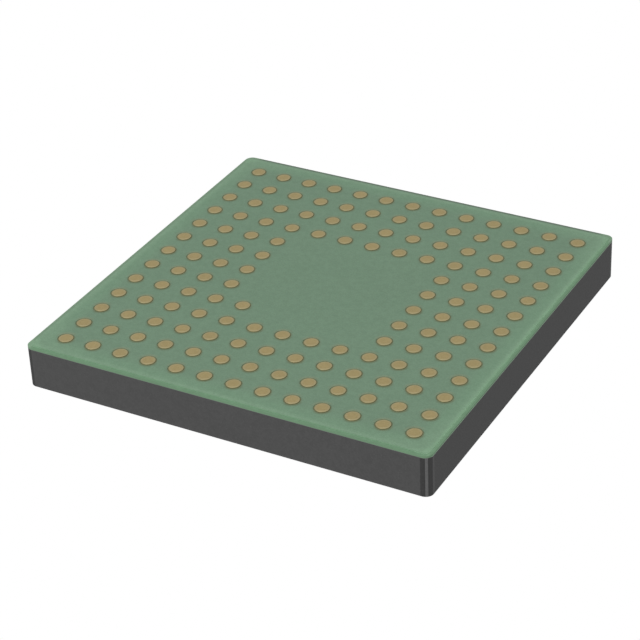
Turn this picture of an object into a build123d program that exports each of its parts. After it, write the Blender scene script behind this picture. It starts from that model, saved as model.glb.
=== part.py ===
from build123d import *
import os
from math import hypot

# A leadless microcontroller package that lies on its moulded face, with its lands up.
# All sizes are in millimetres. Land A1 is in the corner at low X and low Y.

# Outline and layers, from the moulded face up
body_side = 9.00
corner_radius = 0.17
mould_height = 0.870
die_mask_thickness = 0.010
core_thickness = 0.036
land_mask_thickness = 0.008
land_mask_setback = 0.070
land_mask_bevel = 0.004

# Lands: rings of a square grid, and a key land in the empty middle
land_pitch = 0.65
land_grid = 13
land_rings = 4
land_diameter = 0.30
land_sides = 12
land_stand = 0.006
row_letters = "abcdefghjklmn"

# Index dimple in the moulded face, by the corner of land A1
dimple_diameter = 0.80
dimple_floor_diameter = 0.70
dimple_depth = 0.080
dimple_inset = 1.30

# Die and the film that holds it
die_side = 4.40
die_thickness = 0.200
film_thickness = 0.025
film_margin = 0.060

# Bond fingers on the laminate, and the windows of the mask round them
wires_per_side = 18
finger_pitch = 0.290
finger_width = 0.140
finger_length = 0.320
finger_distance = 0.900
window_margin = 0.070

# Bond wires, from the die's pads to the fingers
wire_size = 0.028
wire_rise = 0.110
pad_pitch = 0.220
pad_inset = 0.120

# Heights of the faces where the pieces meet
core_bottom = mould_height + die_mask_thickness
core_top = core_bottom + core_thickness
mask_top = core_top + land_mask_thickness
die_back = mould_height - film_thickness
die_front = die_back - die_thickness
wire_peak = die_front - wire_rise

finger_line = die_side / 2 + finger_distance
finger_row_length = (wires_per_side - 1) * finger_pitch + finger_width
side_angles = {"front": 0, "right": 90, "back": 180, "left": 270}


def slab(side, radius, thickness, bottom):
    """A square plate with rounded upright corners."""
    return Pos(0, 0, bottom) * extrude(RectangleRounded(side, side, radius), thickness)


def block(length, width, height, bottom):
    """A plain block that stands on the given height."""
    return Pos(0, 0, bottom) * extrude(Rectangle(length, width), height)


def row_places(pitch):
    """Places along one side, from its middle outwards."""
    first = -(wires_per_side - 1) * pitch / 2
    return [first + pitch * number for number in range(wires_per_side)]


def make_windows():
    """What fills the four windows of the die side mask."""
    length = finger_row_length + 2 * window_margin
    width = finger_length + 2 * window_margin
    window = Pos(0, -finger_line, 0) * block(length, width, die_mask_thickness, mould_height)
    return Part() + [Rot(0, 0, angle) * window for angle in side_angles.values()]


def make_finger_row():
    """The bond fingers of the front side, flush with the mask round them."""
    finger = block(finger_width, finger_length, die_mask_thickness, mould_height)
    return Part() + [Pos(x, -finger_line, 0) * finger for x in row_places(finger_pitch)]


def make_wire(pad_x, finger_x):
    """One flat-sided wire: straight off the die, then sloping to the middle of its finger."""
    pad_y = -(die_side / 2 - pad_inset)
    run_x = finger_x - pad_x
    run_y = -finger_line - pad_y
    run = hypot(run_x, run_y)
    climb = mould_height - wire_peak
    slope_length = hypot(run, climb)
    half = wire_size / 2
    foot = half * slope_length / climb
    inner_bend = wire_peak + 2 * climb * (foot + half) / (run + foot + half)
    # The side view: along the run, and up
    side_view = Plane(origin=(pad_x, pad_y, 0), x_dir=(run_x, run_y, 0), z_dir=(run_y, -run_x, 0))
    outline = Polyline(
        (-half, die_front),
        (-half, wire_peak),
        (run + foot, mould_height),
        (run - foot, mould_height),
        (half, inner_bend),
        (half, die_front),
        close=True,
    )
    return extrude(side_view * make_face(outline), half, both=True)


def make_wire_row():
    """The bond wires of the front side, fanned out from the die to the fingers."""
    places = zip(row_places(pad_pitch), row_places(finger_pitch))
    return Part() + [make_wire(pad_x, finger_x) for pad_x, finger_x in places]


def make_dimple():
    """The shallow moulded dimple that marks the corner of land A1."""
    place = body_side / 2 - dimple_inset
    dimple = Cone(dimple_diameter / 2, dimple_floor_diameter / 2, dimple_depth)
    return Pos(-place, -place, dimple_depth / 2) * dimple


def make_land_mask():
    """The land side lacquer, drawn back from the edge of the laminate and bevelled there."""
    side = body_side - 2 * land_mask_setback
    mask = slab(side, corner_radius - land_mask_setback, land_mask_thickness, core_top)
    return chamfer(mask.faces().sort_by(Axis.Z)[-1].edges(), land_mask_bevel)


def land_place(column, row):
    """The centre of a land, counted from the corner of land A1."""
    middle = (land_grid - 1) / 2
    return ((column - middle) * land_pitch, (row - middle) * land_pitch)


def is_filled(column, row):
    """Whether a place of the grid lies in one of the filled rings."""
    last = land_grid - 1
    return min(column, row, last - column, last - row) < land_rings


def make_lands(places):
    """Flat plated discs on the mask's face, with few sides because there are so many of them."""
    outline = RegularPolygon(land_diameter / 2, land_sides)
    discs = Sketch() + [Pos(x, y) * outline for x, y in places]
    return Pos(0, 0, mask_top) * extrude(discs, land_stand)


# The chip, the film that holds it, and the four sides of fingers and wires
die = block(die_side, die_side, die_thickness, die_front)
film_side = die_side + 2 * film_margin
film = block(film_side, film_side, film_thickness, die_back)
fingers = make_finger_row()
wires = make_wire_row()
finger_rows = {side: Rot(0, 0, angle) * fingers for side, angle in side_angles.items()}
wire_rows = {side: Rot(0, 0, angle) * wires for side, angle in side_angles.items()}

# The laminate and its two masks
windows = make_windows()
core = slab(body_side, corner_radius, core_thickness, core_bottom)
die_mask = slab(body_side, corner_radius, die_mask_thickness, mould_height) - windows
land_mask = make_land_mask()

# The mould fills the windows and closes round everything on the laminate's inner face
embedded = [die, film, *finger_rows.values(), *wire_rows.values()]
mould = slab(body_side, corner_radius, mould_height, 0) + windows
mould = mould - make_dimple() - embedded

pieces = {
    "mould_cap": mould,
    "die": die,
    "die_attach_film": film,
    "die_side_mask": die_mask,
    "laminate_core": core,
    "land_side_mask": land_mask,
    "key_land": make_lands([land_place(land_rings, land_rings)]),
}
for side in side_angles:
    pieces["bond_fingers_" + side] = finger_rows[side]
    pieces["bond_wires_" + side] = wire_rows[side]
for row, letter in enumerate(row_letters):
    columns = [column for column in range(land_grid) if is_filled(column, row)]
    pieces["land_row_" + letter] = make_lands([land_place(column, row) for column in columns])

os.makedirs("parts", exist_ok=True)
for name, piece in pieces.items():
    export_step(piece, "parts/" + name + ".step")
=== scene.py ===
# %% [markdown]
# # A microcontroller in a land grid array package
#
# The object is a square chip package, 9 mm across, that lies on its black moulded face. Its other
# face is a green laminate with gold lands. The solid model gives every size, and this script gives
# the looks: the lacquer with its openings, the plated lands, and a finish for each surface.
#
# The first step loads the solid model. Its pieces stay where they are for good.

# %% Load the solid model
import math

import bmesh
import bpy
from mathutils import Euler, Matrix, Vector


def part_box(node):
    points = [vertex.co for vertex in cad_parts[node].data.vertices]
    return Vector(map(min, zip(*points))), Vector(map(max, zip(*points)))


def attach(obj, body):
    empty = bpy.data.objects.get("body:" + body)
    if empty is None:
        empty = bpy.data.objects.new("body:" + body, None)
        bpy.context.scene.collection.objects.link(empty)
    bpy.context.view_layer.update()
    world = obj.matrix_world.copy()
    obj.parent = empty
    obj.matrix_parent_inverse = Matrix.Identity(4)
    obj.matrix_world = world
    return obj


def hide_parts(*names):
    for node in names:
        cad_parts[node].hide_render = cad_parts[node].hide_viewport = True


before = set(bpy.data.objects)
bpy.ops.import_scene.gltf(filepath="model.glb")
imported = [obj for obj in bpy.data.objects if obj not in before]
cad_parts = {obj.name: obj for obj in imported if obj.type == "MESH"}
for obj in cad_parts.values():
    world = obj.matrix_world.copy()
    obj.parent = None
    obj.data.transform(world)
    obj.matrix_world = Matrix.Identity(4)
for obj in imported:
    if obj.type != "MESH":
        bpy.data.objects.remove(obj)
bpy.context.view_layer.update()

# %% [markdown]
# ## Sizes
#
# The solid model is in metres. The package is small, so this script works in millimetres, and a piece
# becomes metres when it is finished. Nothing is measured twice: the faces of the layers, the land grid
# and the size of a land are read from the solid model's boxes. A box doesn't tell the radius of a
# corner or how many rings of lands there are, so those two are named here.

# %% Read the sizes of the package
mm = 0.001
row_letters = "abcdefghjklmn"
land_rings = 4
corner_radius = 0.17


def box_in_mm(name):
    """The low and the high corner of a solid model node, in millimetres."""
    low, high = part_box(name)
    return low / mm, high / mm


sheet_low, sheet_high = box_in_mm("land_side_mask")
first_low, first_high = box_in_mm("land_row_" + row_letters[0])
last_low = box_in_mm("land_row_" + row_letters[-1])[0]

half_side = box_in_mm("laminate_core")[1].x
sheet_half_side = sheet_high.x
setback = half_side - sheet_half_side
board_top = sheet_low.z
sheet_top = sheet_high.z
land_top = first_high.z
land_diameter = first_high.y - first_low.y
land_pitch = (last_low.y - first_low.y) / (len(row_letters) - 1)
print("side", round(2 * half_side, 3), "pitch", round(land_pitch, 3), "land", round(land_diameter, 3))
print("board top", round(board_top, 3), "lacquer top", round(sheet_top, 3), "setback", round(setback, 3))


# %% [markdown]
# ## Helpers for shader nodes
#
# A finish is a small tree of nodes. It could be clicked together in the editor, but in code each
# number stays readable. A helper adds a node and fills its sockets, by value or by a link, and
# the others use it for the sums that come back most often, so that a line reads like its sum.

# %% Helpers for numbers
def node(tree, kind, sockets=None, **settings):
    """Adds a node. A socket takes a value, or the output of another node."""
    made = tree.nodes.new(kind)
    for name, value in settings.items():
        setattr(made, name, value)
    for socket, value in (sockets or {}).items():
        if isinstance(value, bpy.types.NodeSocket):
            tree.links.new(value, made.inputs[socket])
        else:
            made.inputs[socket].default_value = value
    return made


def maths(tree, operation, first, second=0.0):
    """The result of one sum."""
    return node(tree, "ShaderNodeMath", {0: first, 1: second}, operation=operation).outputs[0]


def times(tree, first, *others):
    """The product of several values."""
    for other in others:
        first = maths(tree, "MULTIPLY", first, other)
    return first


def ramp(tree, value, start, full, low=0.0, high=1.0):
    """Runs smoothly from low to high while the value runs from start to full."""
    sockets = {"Value": value, "From Min": start, "From Max": full, "To Min": low, "To Max": high}
    return node(tree, "ShaderNodeMapRange", sockets, interpolation_type="SMOOTHSTEP").outputs[0]


# %% Helpers for vectors
def vectors(tree, operation, first, second=(0.0, 0.0, 0.0)):
    """The result of one sum with vectors. It is a number for a length, a distance or a dot product."""
    made = node(tree, "ShaderNodeVectorMath", {0: first, 1: second}, operation=operation)
    is_number = operation in ("LENGTH", "DISTANCE", "DOT_PRODUCT")
    return made.outputs["Value" if is_number else "Vector"]


def scaled(tree, vector, amount):
    """A vector or a colour times one number."""
    return node(tree, "ShaderNodeVectorMath", {0: vector, "Scale": amount}, operation="SCALE").outputs[0]


def split(tree, vector):
    """The x, y and z of a vector."""
    return node(tree, "ShaderNodeSeparateXYZ", {0: vector}).outputs


# %% [markdown]
# ## Helpers for colours
#
# Colours are written as they look on a screen, from 0 to 255, because that is how they are read off a
# picture. Shaders calculate with light itself, so a helper turns one into the other. A Mix node has
# sockets for every kind of data, so those for colours are told by their numbers. A fine surface looks
# a little darker in its hollows, where less light gets in, and one helper gives that to any colour.

# %% Helpers for colours
screen_gamma = 2.2
mix_amount, mix_first, mix_second, mix_result = 0, 6, 7, 2


def colour(red, green, blue):
    """A screen colour as the linear colour that shaders use."""
    return tuple((part / 255) ** screen_gamma for part in (red, green, blue)) + (1.0,)


def grey(tone):
    """A grey of this screen tone."""
    return colour(tone, tone, tone)


def blend_colours(tree, amount, first, second):
    """One colour where the amount is 0, the other where it is 1."""
    sockets = {mix_amount: amount, mix_first: first, mix_second: second}
    return node(tree, "ShaderNodeMix", sockets, data_type="RGBA").outputs[mix_result]


def shade_hollows(tree, tone, height, hollow, hollow_end=0.35, crest_start=0.65):
    """Darkens a colour where the grain is low, by the tone that a white would get there."""
    shade = blend_colours(tree, ramp(tree, height, hollow_end, crest_start), hollow, grey(255))
    return vectors(tree, "MULTIPLY", tone, shade)


print("mid grey is", round(grey(127.5)[0], 3), "in a shader")


# %% [markdown]
# ## Helpers for node groups
#
# A node group is an effect with named inputs and outputs. It is built once, and each finish places
# it with its own values, so a better grain is better everywhere.

# %% Helpers for node groups
def new_group(name, inputs, outputs):
    """Begins a node group and returns it with its own inputs and outputs."""
    group = bpy.data.node_groups.new(name, "ShaderNodeTree")
    for title, kind in inputs.items():
        group.interface.new_socket(title, in_out="INPUT", socket_type="NodeSocket" + kind)
    for title, kind in outputs.items():
        group.interface.new_socket(title, in_out="OUTPUT", socket_type="NodeSocket" + kind)
    start = group.nodes.new("NodeGroupInput")
    end = group.nodes.new("NodeGroupOutput")
    return group, start.outputs, end.inputs


def use_group(tree, group, sockets):
    """Places a node group and returns its outputs by name."""
    made = node(tree, "ShaderNodeGroup", sockets, node_tree=group)
    return {socket.name: socket for socket in made.outputs}


# %% [markdown]
# ## Grain
#
# Grain is the fine unevenness of a moulded, etched or printed surface. One noise of the grain's own
# size looks too even, so a little of a coarser one is added. Its height feeds the bump, the gloss and
# the tone together, as it does on a real surface.

# %% Grain
coarser = 0.27
fine_share, coarse_share = 0.7, 0.3
grain, given, result = new_group("grain", {"Place": "Vector", "Size": "Float"}, {"Height": "Float"})
fine_scale = maths(grain, "DIVIDE", 1.0, given["Size"])
coarse_scale = maths(grain, "MULTIPLY", fine_scale, coarser)
fine = node(grain, "ShaderNodeTexNoise", {"Vector": given["Place"], "Scale": fine_scale, "Detail": 3.0})
coarse = node(
    grain, "ShaderNodeTexNoise", {"Vector": given["Place"], "Scale": coarse_scale, "Detail": 1.0}
)
fine_part = times(grain, fine.outputs[0], fine_share)
coarse_part = times(grain, coarse.outputs[0], coarse_share)
grain.links.new(maths(grain, "ADD", fine_part, coarse_part), result["Height"])
print("grain:", len(grain.nodes), "nodes")

# %% [markdown]
# ## Drift
#
# No coat or moulding has one tone all over. Drift is the slow change of a tone over a few millimetres.
# Blending two colours would give it, but then each finish would need both. A soft noise round its
# middle makes one colour a few hundredths lighter or darker instead.

# %% Drift
noise_middle = 0.5
drift, given, result = new_group(
    "drift",
    {"Place": "Vector", "Size": "Float", "Amount": "Float", "Colour": "Color"},
    {"Colour": "Color"},
)
drift_scale = maths(drift, "DIVIDE", 1.0, given["Size"])
wander = node(
    drift, "ShaderNodeTexNoise", {"Vector": given["Place"], "Scale": drift_scale, "Detail": 2.0}
)
centred = maths(drift, "SUBTRACT", wander.outputs[0], noise_middle)
change = maths(drift, "ADD", 1.0, times(drift, centred, given["Amount"]))
drift.links.new(scaled(drift, given["Colour"], change), result["Colour"])
print("drift:", len(drift.nodes), "nodes")

# %% [markdown]
# ## Rim
#
# The painted highlights and shades along the edges and at the corners need to know how far a point
# lies from the outline. The outline is a square with rounded corners. Its four quarters are folded
# onto one, and there the distance is that to a corner's centre or to a side. The group also tells the
# turn of the corner, from 0 at a left or right side to 1 at a front or far one, and how near the point
# is to a corner: below 0 along the sides, and 0 or more at the corner itself.

# %% Rim
rim, given, result = new_group(
    "rim",
    {"Place": "Vector", "Half side": "Float", "Corner radius": "Float"},
    {"Distance": "Float", "Corner turn": "Float", "Corner nearness": "Float"},
)
centre_at = maths(rim, "SUBTRACT", given["Half side"], given["Corner radius"])
folded_x, folded_y, _ = split(rim, vectors(rim, "ABSOLUTE", given["Place"]))
past_x = maths(rim, "SUBTRACT", folded_x, centre_at)
past_y = maths(rim, "SUBTRACT", folded_y, centre_at)
out_x = maths(rim, "MAXIMUM", past_x, 0.0)
out_y = maths(rim, "MAXIMUM", past_y, 0.0)
from_centre = maths(rim, "SQRT", maths(rim, "ADD", times(rim, out_x, out_x), times(rim, out_y, out_y)))
inwards = maths(rim, "MINIMUM", maths(rim, "MAXIMUM", past_x, past_y), 0.0)
outwards = maths(rim, "ADD", from_centre, inwards)
turn = maths(rim, "ARCTAN2", out_y, out_x)
rim.links.new(maths(rim, "SUBTRACT", given["Corner radius"], outwards), result["Distance"])
rim.links.new(maths(rim, "DIVIDE", turn, math.pi / 2), result["Corner turn"])
rim.links.new(maths(rim, "ADD", past_x, past_y), result["Corner nearness"])
print("rim:", len(rim.nodes), "nodes")

# %% [markdown]
# ## Sides
#
# The four sides of the package take the light differently, so their painted light and shade differ.
# The rim group folds the sides onto one, so it can't tell them apart. This one gives how far a point
# lies inside each side, and how high it is.

# %% Sides
sides, given, result = new_group(
    "sides",
    {"Place": "Vector", "Half side": "Float"},
    {title: "Float" for title in ("From left", "From right", "From front", "From far", "Height")},
)
x, y, z = split(sides, given["Place"])
sides.links.new(maths(sides, "ADD", given["Half side"], x), result["From left"])
sides.links.new(maths(sides, "SUBTRACT", given["Half side"], x), result["From right"])
sides.links.new(maths(sides, "ADD", given["Half side"], y), result["From front"])
sides.links.new(maths(sides, "SUBTRACT", given["Half side"], y), result["From far"])
sides.links.new(z, result["Height"])
print("sides:", len(sides.nodes), "nodes")

# %% [markdown]
# ## From the land
#
# The lacquer and the plate change round each land, 145 times over. Painting that by hand or giving
# each land its own mask would take many nodes. Rounding a place to whole steps of the grid gives the
# nearest land for all of them at once. The group tells the reach from that land's centre, how much of
# it lies towards the front right, and whether the grid has a land there.

# %% From the land
front_right = (0.5, -0.866, 0.0)
half_step = 0.5
middle_rings = (len(row_letters) - 1) / 2 - land_rings
from_land, given, result = new_group(
    "from_land",
    {"Place": "Vector", "Pitch": "Float"},
    {"Reach": "Float", "Towards front": "Float", "Land here": "Float"},
)
pitches = node(from_land, "ShaderNodeCombineXYZ", {0: given["Pitch"], 1: given["Pitch"], 2: 1.0})
in_plane = vectors(from_land, "MULTIPLY", given["Place"], (1.0, 1.0, 0.0))
in_steps = vectors(from_land, "DIVIDE", in_plane, pitches.outputs[0])
number = vectors(from_land, "ADD", in_steps, (half_step, half_step, half_step))
number = vectors(from_land, "FLOOR", number)
offset = vectors(from_land, "SUBTRACT", in_steps, number)
offset = vectors(from_land, "MULTIPLY", offset, pitches.outputs[0])
from_land.links.new(vectors(from_land, "LENGTH", offset), result["Reach"])
from_land.links.new(vectors(from_land, "DOT_PRODUCT", offset, front_right), result["Towards front"])

steps_x, steps_y, _ = split(from_land, vectors(from_land, "ABSOLUTE", in_steps))
steps_out = maths(from_land, "MAXIMUM", steps_x, steps_y)
in_rings = maths(from_land, "GREATER_THAN", steps_out, middle_rings + half_step)
to_key = vectors(from_land, "DISTANCE", number, (-middle_rings, -middle_rings, 0.0))
is_key = maths(from_land, "LESS_THAN", to_key, half_step)
from_land.links.new(maths(from_land, "MAXIMUM", in_rings, is_key), result["Land here"])
print("from the land:", len(from_land.nodes), "nodes")

# %% [markdown]
# ## Specks
#
# Specks are the few grains of filler that catch the light. A Voronoi texture cuts space into cells,
# a dot sits in the middle of each, and only the share of the cells whose random tone is low keeps it.

# %% Specks
dot_edge, dot_core = 0.35, 0.15
specks, given, result = new_group(
    "specks", {"Place": "Vector", "Size": "Float", "Share": "Float"}, {"Mask": "Float"}
)
speck_scale = maths(specks, "DIVIDE", 1.0, given["Size"])
cells = node(specks, "ShaderNodeTexVoronoi", {"Vector": given["Place"], "Scale": speck_scale})
dots = ramp(specks, cells.outputs["Distance"], dot_edge, dot_core)
cell_tone = split(specks, cells.outputs["Color"])[0]
chosen = maths(specks, "LESS_THAN", cell_tone, given["Share"])
specks.links.new(times(specks, dots, chosen), result["Mask"])
print("node groups:", [group.name for group in bpy.data.node_groups])


# %% [markdown]
# ## Starting and ending a finish
#
# Every finish starts the same way: a Principled shader, and the place on the object in millimetres,
# so that a grain size can be written as it is measured. It ends the same way too: with its colour,
# its roughness and its bump, whose height is in millimetres as well.

# %% Helpers for a finish
def new_finish(name, **sockets):
    """A material, with its node tree, its Principled shader and places in millimetres."""
    material = bpy.data.materials.new(name)
    material.use_nodes = True
    tree = material.node_tree
    shader = tree.nodes["Principled BSDF"]
    for socket, value in sockets.items():
        shader.inputs[socket.replace("_", " ")].default_value = value
    place = scaled(tree, node(tree, "ShaderNodeTexCoord").outputs["Object"], 1 / mm)
    return material, tree, shader, place


def fill_shader(tree, shader, tone, roughness=None, relief=None, depth=0.0):
    """Links the colour, the roughness and a relief whose height from 0 to 1 is this depth."""
    tree.links.new(tone, shader.inputs["Base Color"])
    if roughness is not None:
        tree.links.new(roughness, shader.inputs["Roughness"])
    if relief is not None:
        bump = node(tree, "ShaderNodeBump", {"Height": relief, "Distance": depth * mm})
        tree.links.new(bump.outputs["Normal"], shader.inputs["Normal"])


def dress(names, material):
    """Gives solid model nodes their finish."""
    for name in names:
        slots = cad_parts[name].data.materials
        slots.clear()
        slots.append(material)
    print(material.name, "on", ", ".join(names))


# %% [markdown]
# ## Coats of tone
#
# A surface here has zones: a paler rim, a brown ring, a corner with a light stripe. Nearly all of
# them are painted highlight and painted shade. Each zone here is a coat, which is a tone with a mask.
# The mask is a product of ramps over the measures that the groups give, so it is 1 where all of them
# are full. The coats of a finish stand in a table with their names, and the later ones lie on top.

# %% Helpers for coats
def where(tree, measures, *limits):
    """A mask. Each limit names a measure, where its ramp starts and where it is full."""
    return times(tree, *[ramp(tree, measures[name], *numbers) for name, *numbers in limits])


def lay_coats(tree, measures, under, coats):
    """Lays coats over a colour. Each has its tone, its strength and the limits of its mask."""
    for tone, strength, *limits in coats.values():
        amount = times(tree, where(tree, measures, *limits), strength)
        under = blend_colours(tree, amount, under, colour(*tone))
    return under


# %% [markdown]
# ## Moulded epoxy
#
# The cap is black epoxy filled with silica. It looks dark grey and matt: the mould was eroded by
# sparks, which leaves a fine pebbled skin, and single filler grains show as lighter specks. A flat
# dark grey would look like plastic, so grain, specks and drift each add a little.

# %% Epoxy skin
epoxy, tree, shader, place = new_finish("moulded_epoxy", Roughness=0.6, Specular_IOR_Level=0.35)
pebbles = use_group(tree, grain, {"Place": place, "Size": 0.035})["Height"]
filler = use_group(tree, specks, {"Place": place, "Size": 0.05, "Share": 0.22})["Mask"]
skin_tone = grey(76.5)
skin = use_group(
    tree, drift, {"Place": place, "Size": 1.8, "Amount": 0.06, "Colour": skin_tone}
)["Colour"]
print("epoxy skin:", len(tree.nodes), "nodes")

# %% [markdown]
# ## The upright corners of the cap
#
# The upright corners are rounded, and their flanks get painted shade. On the two corners of the right
# half the whole round has painted shade, a broad lighter stripe along its ridge is a painted
# highlight, and a thin painted highlight line runs where the round begins. On the left half only the
# part next to the left side has painted shade. Strips of mesh could carry these tones, but the cap
# keeps its own mesh, so all of it is masks over the turn of the corner. None of it reaches the
# moulded face below.

# %% Epoxy corners
corner_shading_radius = 0.20
ridge_highlight_turn = 0.603
measures = use_group(
    tree, rim, {"Place": place, "Half side": half_side, "Corner radius": corner_shading_radius}
)
measures |= use_group(tree, sides, {"Place": place, "Half side": half_side})
turn = measures["Corner turn"]
measures["Off ridge"] = maths(tree, "ABSOLUTE", maths(tree, "SUBTRACT", turn, ridge_highlight_turn))

right_half = ("From left", half_side - 0.5, half_side + 0.5)
upright = ("Distance", 0.030, 0.012)
# Masks: ridge for the painted highlight stripe, line for the thin painted highlight line, flank for the
# painted shade of the round.
ridge = where(tree, measures, ("Off ridge", 0.100, 0.070), right_half)
line = where(
    tree, measures, ("Corner turn", 0.210, 0.185), ("Corner turn", 0.0, 0.005), right_half, upright
)
round_part = where(tree, measures, ("Corner turn", 0.185, 0.210), ("Corner turn", 1.0, 0.99), upright)
dark_share = maths(
    tree, "MAXIMUM", where(tree, measures, right_half), where(tree, measures, ("Corner turn", 0.88, 0.82))
)
flank_shade = times(tree, round_part, dark_share)
print("epoxy with its corners:", len(tree.nodes), "nodes")

# %% Epoxy tones
# Painted shade for the flanks, painted highlights for the ridge and the line.
outer_flank_shade, inner_flank_shade = grey(58), grey(66)
ridge_highlight_tone, line_highlight_tone, filler_tone = grey(101), grey(91), grey(104)
filler_strength = 0.14
flank_shade_tone = blend_colours(tree, ramp(tree, turn, 0.5, 0.4), outer_flank_shade, inner_flank_shade)
corner_shade_and_highlight = blend_colours(tree, ridge, flank_shade_tone, ridge_highlight_tone)
tone = blend_colours(tree, line, skin, line_highlight_tone)
tone = blend_colours(tree, flank_shade, tone, corner_shade_and_highlight)
tone = blend_colours(tree, times(tree, filler, filler_strength), tone, filler_tone)
tone = shade_hollows(tree, tone, pebbles, grey(236))
roughness = ramp(tree, pebbles, 0.2, 0.8, low=0.52, high=0.70)
fill_shader(tree, shader, tone, roughness, relief=pebbles, depth=0.0035)
dress(["mould_cap"], epoxy)

# %% [markdown]
# ## Sawn laminate
#
# The board's edge shows resin and glass cut through by a saw. Seen up close that is a green face with
# faint streaks along the cut. A wave texture would make them too even, so they are the same grain as
# elsewhere, squeezed upwards until it runs along the side.

# %% Laminate
squeeze = 14.0
laminate, tree, shader, place = new_finish("sawn_laminate", Roughness=0.55, Specular_IOR_Level=0.3)
squeezed = vectors(tree, "MULTIPLY", place, (1.0, 1.0, squeeze))
streaks = use_group(tree, grain, {"Place": squeezed, "Size": 0.12})["Height"]
board = use_group(
    tree, drift, {"Place": place, "Size": 1.2, "Amount": 0.10, "Colour": colour(110, 144, 114)}
)["Colour"]
measures = use_group(
    tree, rim, {"Place": place, "Half side": half_side, "Corner radius": corner_radius}
)
measures |= use_group(tree, sides, {"Place": place, "Half side": half_side})
print("laminate:", len(tree.nodes), "nodes,", len(measures), "measures")

# %% [markdown]
# ## The ledge of the laminate
#
# Outside the lacquer a narrow ledge of the board is bare. Its tones are painted light and shade:
# painted shade along the far side, and painted highlight at the front, on the right, on the left and
# at the tips of the corners, where the board's sides get a faint painted highlight too. Inside the
# openings of the lacquer the bare board is brown, and it hardly gets any light. Each zone could have a
# material of its own, but coats in one material meet without a seam.

# %% Laminate coats
ledge = ("Height", board_top - 0.004, board_top - 0.001)
left_strip = ("From left", 0.20, 0.08)
tip = ("Corner nearness", 0.0, 0.06)
# Every coat but the far ledge and the openings is a painted highlight; the far ledge is painted shade.
board_coats = {
    "corners": ((113, 148, 117), 1.0, ("Corner nearness", -0.6, -0.1)),
    "front ledge": (
        (113, 149, 118), 1.0, ledge, ("From front", 0.028, 0.036), ("From front", 0.10, 0.08)
    ),
    "far tips": ((127, 156, 130), 1.0, ledge, tip, ("From front", half_side - 1, half_side + 1)),
    "left ledge": ((121, 149, 124), 1.0, ledge, left_strip),
    "left tips": (
        (132, 164, 135), 1.0, ledge, left_strip, tip, ("From front", half_side + 1, half_side - 1, 0.45)
    ),
    "right ledge": (
        (123, 158, 127), 1.0, ledge, ("From right", 0.042, 0.058), ("From right", 0.10, 0.08)
    ),
    "far ledge": (
        (102, 118, 105), 1.0, ledge, ("From far", 0.060, 0.035), ("Corner nearness", 0.06, -0.04)
    ),
    "in the openings": ((116, 122, 92), 1.0, ledge, ("Distance", 0.10, 0.14)),
}
board = lay_coats(tree, measures, board, board_coats)
board = shade_hollows(tree, board, streaks, colour(240, 240, 238), crest_start=0.70)
roughness = ramp(tree, streaks, 0.3, 0.7, low=0.48, high=0.62)
fill_shader(tree, shader, board, roughness, relief=streaks, depth=0.0015)
dress(["laminate_core"], laminate)

# %% [markdown]
# ## Solder mask lacquer
#
# The lacquer is printed over the copper and cured. It is satin, with a faint orange peel on top of a
# fine tooth, and its tone wanders a little with its thickness. Near the corners the pale band of
# painted highlight along its rim follows a softer curve than the cut edge, so the distance to a
# rounder outline is measured for it too.

# %% Lacquer
lacquer_corner = 0.30
peel_share, tooth_share = 0.75, 0.25
lacquer, tree, shader, place = new_finish("solder_mask", Roughness=0.5, Specular_IOR_Level=0.35)
peel = use_group(tree, grain, {"Place": place, "Size": 0.16})["Height"]
tooth = use_group(tree, grain, {"Place": place, "Size": 0.03})["Height"]
relief = maths(tree, "ADD", times(tree, peel, peel_share), times(tree, tooth, tooth_share))
film = use_group(
    tree, drift, {"Place": place, "Size": 2.2, "Amount": 0.06, "Colour": colour(112, 140, 116)}
)["Colour"]

outline = {"Place": place, "Half side": half_side, "Corner radius": lacquer_corner}
soft_distance = use_group(tree, rim, outline)["Distance"]
outline["Corner radius"] = corner_radius
measures = use_group(tree, rim, outline) | {"Soft distance": soft_distance}
measures |= use_group(tree, sides, {"Place": place, "Half side": half_side})
measures |= use_group(tree, from_land, {"Place": place, "Pitch": land_pitch})
print("lacquer:", len(tree.nodes), "nodes,", len(measures), "measures")

# %% [markdown]
# ## Painted light and shade on the lacquer
#
# The margin outside the lands is a touch paler, and a narrow band along the rim is the palest, most of
# all at the corners and on its thin outer wall. Along the right side the band stays pale to its edge,
# and along the front and far sides its last tenth of a millimetre is darker again. All of that is
# painted highlight and painted shade. Round each land the lacquer has a brown ring of painted shade,
# darker at the front of a land, and a lighter golden tint of painted reflected light at its back.

# %% Lacquer coats
margin = ("Soft distance", 0.62, 0.22)
band = ("Soft distance", 0.24, 0.10)
wall = ("Height", sheet_top - 0.0005, sheet_top - 0.0025)
at_land = (("Land here", 0.0, 1.0), ("Distance", 0.25, 0.30))
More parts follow.
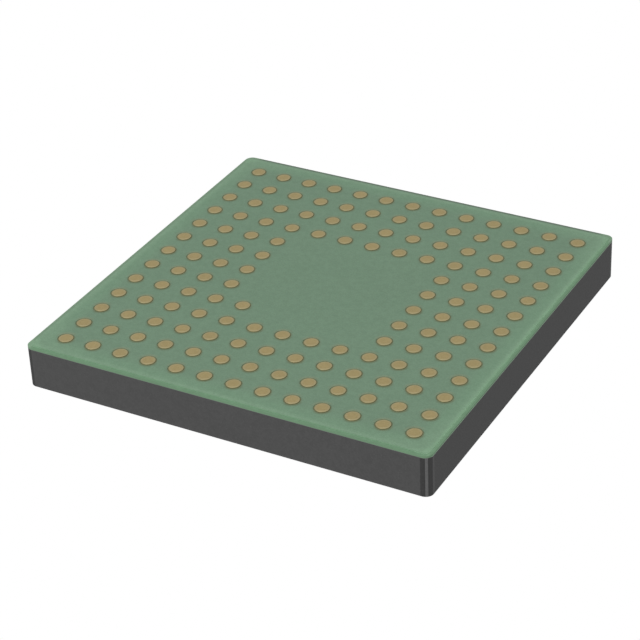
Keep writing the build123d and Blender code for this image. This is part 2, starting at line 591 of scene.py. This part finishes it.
# Every coat here is painted light or shade: highlights on the margin, band, right edge and wall; shade on
# the front and far edges and the land rings; reflected light behind each land.
film_coats = {
    "margin": ((115, 147, 120), 1.0, margin),
    "margin's corners": ((120, 151, 124), 1.0, margin, ("Corner nearness", -1.6, -0.4)),
    "band": ((124, 156, 128), 1.0, band),
    "band's corners": ((128, 163, 132), 1.0, band, ("Corner nearness", -0.25, 0.02)),
    "ring": ((108, 118, 92), 0.25, *at_land, ("Reach", 0.225, 0.175)),
    "ring's front": (
        (99, 106, 77), 0.80, *at_land, ("Reach", 0.245, 0.165), ("Towards front", 0.06, 0.16)
    ),
    "ring's back": (
        (130, 140, 112), 0.60, *at_land, ("Reach", 0.26, 0.18), ("Towards front", -0.06, -0.16)
    ),
    "right edge": ((127, 162, 131), 1.0, ("From right", 0.150, 0.100)),
    "far edge": ((122, 148, 125), 1.0, ("From far", 0.115, 0.085)),
    "front edge": ((114, 149, 118), 1.0, ("From front", 0.100, 0.088)),
    "wall": ((136, 172, 141), 1.0, wall, band),
    "right wall": ((205, 245, 210), 1.0, wall, band, ("From right", setback + 0.010, setback)),
    "wall's corners": ((166, 206, 171), 1.0, wall, band, ("Corner nearness", -0.15, 0.0)),
}
film = lay_coats(tree, measures, film, film_coats)
film = shade_hollows(tree, film, tooth, grey(238))
roughness = ramp(tree, peel, 0.3, 0.7, low=0.42, high=0.56)
fill_shader(tree, shader, film, roughness, relief=relief, depth=0.004)
print("lacquer:", len(film_coats), "coats")

# %% [markdown]
# ## Inner lacquer
#
# The lacquer on the board's inner face shows only its cut edge, between the board and the epoxy. That
# edge is painted grey, a painted highlight line between the green board and the black epoxy, and on
# the right it is the palest, a stronger painted highlight. It has no lands and no margin, so it gets
# a plain finish of its own.

# %% Inner lacquer
inner_lacquer, tree, shader, place = new_finish("inner_solder_mask", Roughness=0.6)
tooth = use_group(tree, grain, {"Place": place, "Size": 0.05})["Height"]
measures = use_group(tree, sides, {"Place": place, "Half side": half_side})
# The grey of the cut and its pale right side are painted highlight.
cut = blend_colours(tree, tooth, colour(101, 116, 102), colour(115, 131, 116))
cut_coats = {"right side": ((170, 202, 172), 1.0, ("From right", 0.02, 0.0))}
cut = lay_coats(tree, measures, cut, cut_coats)
roughness = ramp(tree, tooth, 0.3, 0.7, low=0.50, high=0.66)
fill_shader(tree, shader, cut, roughness, relief=tooth, depth=0.001)
dress(["die_side_mask"], inner_lacquer)

# %% [markdown]
# ## Gold plate
# The lands are copper under nickel and a thin layer of gold. Electroless gold isn't a mirror: it
# keeps the fine tooth of the etched copper, so it looks like a soft tan metal. The finish is part
# metal and part matt, its grain is finer than the lacquer's, and each land has a slightly different
# tone, because the tone wanders over about one land pitch. Towards the shoulder the plate is paler,
# most of all in a crescent at the front: a painted highlight. The wall below it is brown: painted
# shade. The bond fingers have the same plate, but none of those zones.

# %% Gold plate
gold, tree, shader, place = new_finish("gold_plate", Metallic=0.55, Roughness=0.5)
tooth = use_group(tree, grain, {"Place": place, "Size": 0.018})["Height"]
plate = use_group(
    tree, drift, {"Place": place, "Size": 0.7, "Amount": 0.14, "Colour": colour(183, 166, 118)}
)["Colour"]
plate = shade_hollows(tree, plate, tooth, colour(240, 238, 232))
measures = use_group(tree, from_land, {"Place": place, "Pitch": land_pitch})
measures |= use_group(tree, sides, {"Place": place, "Half side": half_side})
print("gold plate:", len(tree.nodes), "nodes,", len(measures), "measures")

# %% Gold coats
land_radius = land_diameter / 2
package_sides = ("front", "right", "back", "left")
on_land = ("Height", board_top - 0.002, board_top - 0.001)
# Painted highlight on the shoulder and the front crescent, painted shade on the wall.
plate_coats = {
    "shoulder": ((176, 168, 132), 0.50, on_land, ("Reach", 0.095, 0.130)),
    "front crescent": ((196, 183, 138), 0.45, on_land, ("Towards front", 0.088, 0.102)),
    "wall": ((134, 129, 93), 1.0, on_land, ("Reach", land_radius - 0.004, land_radius - 0.001)),
}
plate = lay_coats(tree, measures, plate, plate_coats)
roughness = ramp(tree, tooth, 0.25, 0.75, low=0.40, high=0.58)
fill_shader(tree, shader, plate, roughness, relief=tooth, depth=0.0012)
dress(["bond_fingers_" + side for side in package_sides], gold)

# %% [markdown]
# ## The chip and what joins it
#
# These pieces are sealed in the mould, so the picture never shows them, but a cut-away or an exploded
# view does. The silicon is polished and dark, with fine grinding marks: grain that is squeezed one
# way. The film is a soft cream adhesive. The wires are drawn gold, brighter and smoother than the
# plate, and all metal, where the plate is partly matt.

# %% Silicon
grinding = 9.0
silicon, tree, shader, place = new_finish("silicon", Metallic=0.3, Roughness=0.25)
ground = vectors(tree, "MULTIPLY", place, (1.0, grinding, 1.0))
marks = use_group(tree, grain, {"Place": ground, "Size": 0.2})["Height"]
wafer = blend_colours(tree, marks, colour(70, 76, 88), colour(92, 98, 110))
fill_shader(tree, shader, wafer, ramp(tree, marks, 0.2, 0.8, low=0.18, high=0.34))
dress(["die"], silicon)

# %% Attach film
adhesive, tree, shader, place = new_finish("attach_film", Roughness=0.7)
lumps = use_group(tree, grain, {"Place": place, "Size": 0.06})["Height"]
cream = blend_colours(tree, lumps, colour(186, 180, 160), colour(212, 207, 190))
fill_shader(tree, shader, cream, relief=lumps, depth=0.002)
dress(["die_attach_film"], adhesive)

# %% Bond wire
wire, tree, shader, place = new_finish("bond_wire", Metallic=1.0, Roughness=0.3)
drawn = use_group(tree, grain, {"Place": place, "Size": 0.02})["Height"]
metal = blend_colours(tree, drawn, colour(226, 184, 112), colour(244, 206, 136))
fill_shader(tree, shader, metal, ramp(tree, drawn, 0.2, 0.8, low=0.22, high=0.38))
dress(["bond_wires_" + side for side in package_sides], wire)


# %% [markdown]
# ## The land grid
#
# Lands fill four rings of a 13 by 13 grid, and a key land sits in the corner of the empty middle. One
# function says which places of a row are filled, so the lands and the openings of the lacquer can't
# disagree.

# %% Land places
def land_columns(row):
    """The filled places of a row, as numbers from the corner of land A1."""
    last = len(row_letters) - 1
    return [c for c in range(last + 1) if min(c, row, last - c, last - row) < land_rings]


def land_centre(column, row):
    """The centre of a land in the plane of the grid."""
    middle = (len(row_letters) - 1) / 2
    return Vector(((column - middle) * land_pitch, (row - middle) * land_pitch, 0.0))


row_centres = {}
for row, letter in enumerate(row_letters):
    row_centres["land_row_" + letter] = [land_centre(column, row) for column in land_columns(row)]
row_centres["key_land"] = [land_centre(land_rings, land_rings)]
all_centres = [centre for centres in row_centres.values() for centre in centres]
print("lands:", len(all_centres))


# %% [markdown]
# ## From a bmesh to a piece
#
# A finished bmesh is scaled to metres and becomes a mesh object at the origin. Curved strips are
# shaded smooth, and level faces stay flat, so a long thin triangle next to a rounded lip can't smear
# its light. The land and the lacquer both grow upwards from a flat face and have a rounded upper
# edge, so they share a helper for that.

# %% Helpers for pieces
level_normal = 0.999


def of_kind(kind, items):
    """The vertices, or the edges, among what an operator gives back."""
    return [item for item in items if isinstance(item, kind)]


def raise_and_round(bm, faces, height, rounding, steps):
    """Extrudes flat faces upwards and rounds their upper edge."""
    grown = bmesh.ops.extrude_face_region(bm, geom=faces)["geom"]
    bmesh.ops.translate(bm, verts=of_kind(bmesh.types.BMVert, grown), vec=(0, 0, height))
    bmesh.ops.bevel(
        bm, geom=of_kind(bmesh.types.BMEdge, grown), offset=rounding, offset_type="OFFSET",
        segments=steps, profile=0.5, affect="EDGES", material=-1,
    )


def finish_piece(bm, name, material, stands_for):
    """Makes the object, gives it its finish and ties it to the solid model."""
    bmesh.ops.recalc_face_normals(bm, faces=bm.faces)
    for face in bm.faces:
        face.smooth = abs(face.normal.z) < level_normal
    bmesh.ops.scale(bm, vec=(mm, mm, mm), verts=bm.verts)
    mesh = bpy.data.meshes.new(name)
    bm.to_mesh(mesh)
    bm.free()
    mesh.materials.append(material)
    piece = bpy.data.objects.new(name, mesh)
    bpy.context.scene.collection.objects.link(piece)
    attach(piece, "root")
    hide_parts(stands_for)
    return piece


# %% [markdown]
# ## Plated lands
#
# A land is a round pad that was etched from copper foil and plated, so its shoulder is rounded. It
# stands on the board inside an opening of the lacquer, and a little above it. It could be spun from a
# profile, but a capped circle, extruded and bevelled, gives the same form with fewer faces and no pole.

# %% Lands
round_sides = 28
land_rounding = 0.004


def add_land(bm, centre):
    """One land on the board."""
    start = Matrix.Translation((centre.x, centre.y, board_top))
    made = bmesh.ops.create_circle(
        bm, cap_ends=True, segments=round_sides, radius=land_radius, matrix=start
    )
    base = made["verts"][0].link_faces[0]
    raise_and_round(bm, [base], land_top - board_top, land_rounding, steps=1)


for name, centres in row_centres.items():
    bm = bmesh.new()
    for centre in centres:
        add_land(bm, centre)
    piece = finish_piece(bm, name.replace("land", "plated_land"), gold, name)
print("one land has", len(piece.data.polygons), "faces")

# %% [markdown]
# ## Lacquer sheet
#
# The lacquer covers the board except for a round opening at each land, a little wider than the land,
# so a narrow dark gap runs round it. Its outer edge is rounded and stands back from the cut edge.
# A boolean would cut the openings, but it leaves no clean edge to round. Here the sheet starts as a
# closed plate that loses its two flat faces.

# %% Outer edge of the lacquer
corner_steps = 10
edge_steps = 3
lacquer_rounding = 0.003
bm = bmesh.new()
on_board = Matrix.Translation((0, 0, board_top))
bmesh.ops.create_grid(bm, x_segments=1, y_segments=1, size=sheet_half_side, matrix=on_board)
bmesh.ops.bevel(
    bm, geom=bm.verts[:], offset=corner_radius - setback, offset_type="OFFSET", segments=corner_steps,
    profile=0.5, affect="VERTICES", material=-1,
)
raise_and_round(bm, bm.faces[:], sheet_top - board_top, lacquer_rounding, edge_steps)
bmesh.ops.recalc_face_normals(bm, faces=bm.faces)
plates = [face for face in bm.faces if abs(face.normal.z) > level_normal]
bmesh.ops.delete(bm, geom=plates, context="FACES_ONLY")
print("outer edge:", len(bm.faces), "faces")

# %% [markdown]
# ## Openings of the lacquer
#
# One opening's lip is spun from a short profile, and the others are copies of it. Then the two flat
# faces are filled in again, between the outline and the lips. The sheet has to come out closed, so the
# open edges are counted.

# %% One lip
opening_gap = 0.025
opening_lip = 0.003
opening_radius = land_radius + opening_gap
lip_profile = [
    (opening_radius + opening_lip, sheet_top),
    (opening_radius, sheet_top - opening_lip),
    (opening_radius, board_top),
]
edge_verts = set(bm.verts)
corners = [bm.verts.new((reach, 0, height)) for reach, height in lip_profile]
lines = [bm.edges.new(pair) for pair in zip(corners, corners[1:])]
bmesh.ops.spin(
    bm, geom=corners + lines, cent=(0, 0, 0), axis=(0, 0, 1), angle=2 * math.pi,
    steps=round_sides, use_merge=True,
)
lip_verts = [vert for vert in bm.verts if vert not in edge_verts]
lip_faces = list({face for vert in lip_verts for face in vert.link_faces})
lip_edges = list({edge for vert in lip_verts for edge in vert.link_edges})
print("one lip:", len(lip_faces), "faces")

# %% Copies of the lip
for centre in all_centres:
    copied = bmesh.ops.duplicate(bm, geom=lip_verts + lip_edges + lip_faces)["geom"]
    bmesh.ops.translate(bm, verts=of_kind(bmesh.types.BMVert, copied), vec=centre)
bmesh.ops.delete(bm, geom=lip_verts, context="VERTS")
print("lips:", len(all_centres))

# %% Flat faces of the lacquer
same_height = 0.0001


def is_open_at(edge, height):
    """Whether an edge is open and lies at this height."""
    return edge.is_boundary and all(abs(vert.co.z - height) < same_height for vert in edge.verts)


for height in (sheet_top, board_top):
    open_ring = [edge for edge in bm.edges if is_open_at(edge, height)]
    bmesh.ops.triangle_fill(bm, edges=open_ring, use_beauty=True)
open_edges = sum(not edge.is_manifold for edge in bm.edges)
sheet = finish_piece(bm, "lacquer_sheet", lacquer, "land_side_mask")
print("lacquer sheet:", len(sheet.data.polygons), "faces,", open_edges, "open edges")

# %% [markdown]
# ## Floor
#
# This cell was written to lay a pale floor with a square opening under the package, but its mesh
# comes out without faces: inset_region leaves the open edges of a sheet alone unless use_boundary is
# set, so no ring is made and the only face is deleted as the middle. It was found after every tone
# had been matched without a floor, and it stays so. The white ground in the picture is the sky.

# %% Floor
floor_half_side = 400
floor_level = -0.002
floor_overlap = 0.25
opening_half_side = half_side - floor_overlap
bm = bmesh.new()
under = Matrix.Translation((0, 0, floor_level))
bmesh.ops.create_grid(bm, x_segments=1, y_segments=1, size=floor_half_side, matrix=under)
ring = bmesh.ops.inset_region(
    bm, faces=bm.faces[:], thickness=floor_half_side - opening_half_side, use_even_offset=True
)["faces"]
middle = [face for face in bm.faces if face not in ring]
bmesh.ops.delete(bm, geom=middle, context="FACES")
bmesh.ops.scale(bm, vec=(mm, mm, mm), verts=bm.verts)
floor_mesh = bpy.data.meshes.new("floor")
bm.to_mesh(floor_mesh)
bm.free()
floor = bpy.data.objects.new("floor", floor_mesh)
bpy.context.scene.collection.objects.link(floor)
print("floor:", len(floor_mesh.polygons), "faces, opening", round(2 * opening_half_side, 3), "mm")

# %% [markdown]
# ## White card for the floor
#
# The floor was to read as white paper and still take the soft shadow. So its card glows a little
# where the camera or a reflection sees it, and is plain pale card for the light that falls on the
# object. From below it is clear. The floor has no faces, so this card shows nowhere.

# %% White card
seen_glow, seen_tone, card_tone = 0.62, 0.45, 0.75
white = (1.0, 1.0, 1.0, 1.0)
card = bpy.data.materials.new("white_card")
card.use_nodes = True
tree = card.node_tree
tree.nodes.clear()
rays = node(tree, "ShaderNodeLightPath").outputs
seen = maths(tree, "MAXIMUM", rays["Is Camera Ray"], rays["Is Glossy Ray"])
seen = maths(tree, "MAXIMUM", seen, rays["Is Transmission Ray"])
glow = node(tree, "ShaderNodeEmission", {"Color": white, "Strength": seen_glow})
paper = node(tree, "ShaderNodeBsdfDiffuse", {"Color": (seen_tone, seen_tone, seen_tone, 1.0)})
bright = node(tree, "ShaderNodeAddShader", {0: glow.outputs[0], 1: paper.outputs[0]})
plain = node(tree, "ShaderNodeBsdfDiffuse", {"Color": (card_tone, card_tone, card_tone, 1.0)})
top_side = node(tree, "ShaderNodeMixShader", {0: seen, 1: plain.outputs[0], 2: bright.outputs[0]})
clear = node(tree, "ShaderNodeBsdfTransparent")
below = node(tree, "ShaderNodeNewGeometry").outputs["Backfacing"]
either = node(tree, "ShaderNodeMixShader", {0: below, 1: top_side.outputs[0], 2: clear.outputs[0]})
node(tree, "ShaderNodeOutputMaterial", {"Surface": either.outputs[0]})
floor_mesh.materials.append(card)
print("white card:", len(tree.nodes), "nodes")

# %% [markdown]
# ## Sky
#
# An even sky gives most of the light, which keeps the shadows soft. With no floor it lights the
# package from below too. The camera sees it as full white, and the object and its reflections get
# half of that.

# %% Sky
sky_light, sky_seen = 0.50, 1.0
world = bpy.data.worlds.new("studio")
bpy.context.scene.world = world
world.use_nodes = True
tree = world.node_tree
tree.nodes.clear()
rays = node(tree, "ShaderNodeLightPath").outputs
seen = maths(tree, "MAXIMUM", rays["Is Camera Ray"], rays["Is Transmission Ray"])
strength = ramp(tree, seen, 0.0, 1.0, low=sky_light, high=sky_seen)
sky = node(tree, "ShaderNodeBackground", {"Color": white, "Strength": strength})
node(tree, "ShaderNodeOutputWorld", {"Surface": sky.outputs[0]})
print("sky:", len(tree.nodes), "nodes")


# %% [markdown]
# ## Lamps
#
# Two square lamps give the faces their different tones: a key from the front left, and a weaker fill
# from the right. They are large for so small an object, so neither leaves a hard shadow.

# %% Lamps
def add_softbox(name, azimuth, elevation, distance, side, power):
    """A square lamp that faces the package. Angles in degrees, distance and side in millimetres."""
    lamp = bpy.data.lights.new(name, "AREA")
    lamp.size = side * mm
    lamp.energy = power
    box = bpy.data.objects.new(name, lamp)
    turn, climb = math.radians(azimuth), math.radians(elevation)
    way = Vector((math.sin(turn) * math.cos(climb), -math.cos(turn) * math.cos(climb), math.sin(climb)))
    box.location = way * distance * mm
    box.rotation_euler = way.to_track_quat("Z", "Y").to_euler()
    bpy.context.scene.collection.objects.link(box)
    print(name, "lamp at", [round(part / mm, 1) for part in box.location], "mm")


add_softbox("key", azimuth=-20, elevation=40, distance=120, side=100, power=0.100)
add_softbox("fill", azimuth=75, elevation=40, distance=140, side=100, power=0.026)

# %% [markdown]
# ## Camera
#
# The picture was taken with a long lens from the front right, about 32 degrees up. The camera aims at
# a point in front of the middle of the land side. It is given by that point, the two angles, the
# distance and a small roll, so each can be changed by itself.

# %% Camera
aim = Vector((0.403, -1.130, 0.920))
azimuth, elevation, roll = math.radians(29.787), math.radians(31.689), math.radians(-2.569)
distance = 43.723
focal_length, sensor_width = 121.85, 36
nearest_seen, farthest_seen = 1, 2000

camera_data = bpy.data.cameras.new("camera")
camera_data.lens = focal_length
camera_data.sensor_width = sensor_width
camera_data.clip_start = nearest_seen * mm
camera_data.clip_end = farthest_seen * mm
camera = bpy.data.objects.new("camera", camera_data)
turned = Euler((0, 0, azimuth)).to_matrix() @ Euler((math.pi / 2 - elevation, 0, 0)).to_matrix()
turned = turned @ Euler((0, 0, roll)).to_matrix()
camera.rotation_euler = turned.to_euler()
camera.location = (aim + turned @ Vector((0, 0, distance))) * mm
bpy.context.scene.collection.objects.link(camera)
bpy.context.scene.camera = camera
bpy.context.scene.view_settings.view_transform = "Standard"
print("camera at", [round(part / mm, 2) for part in camera.location], "mm")
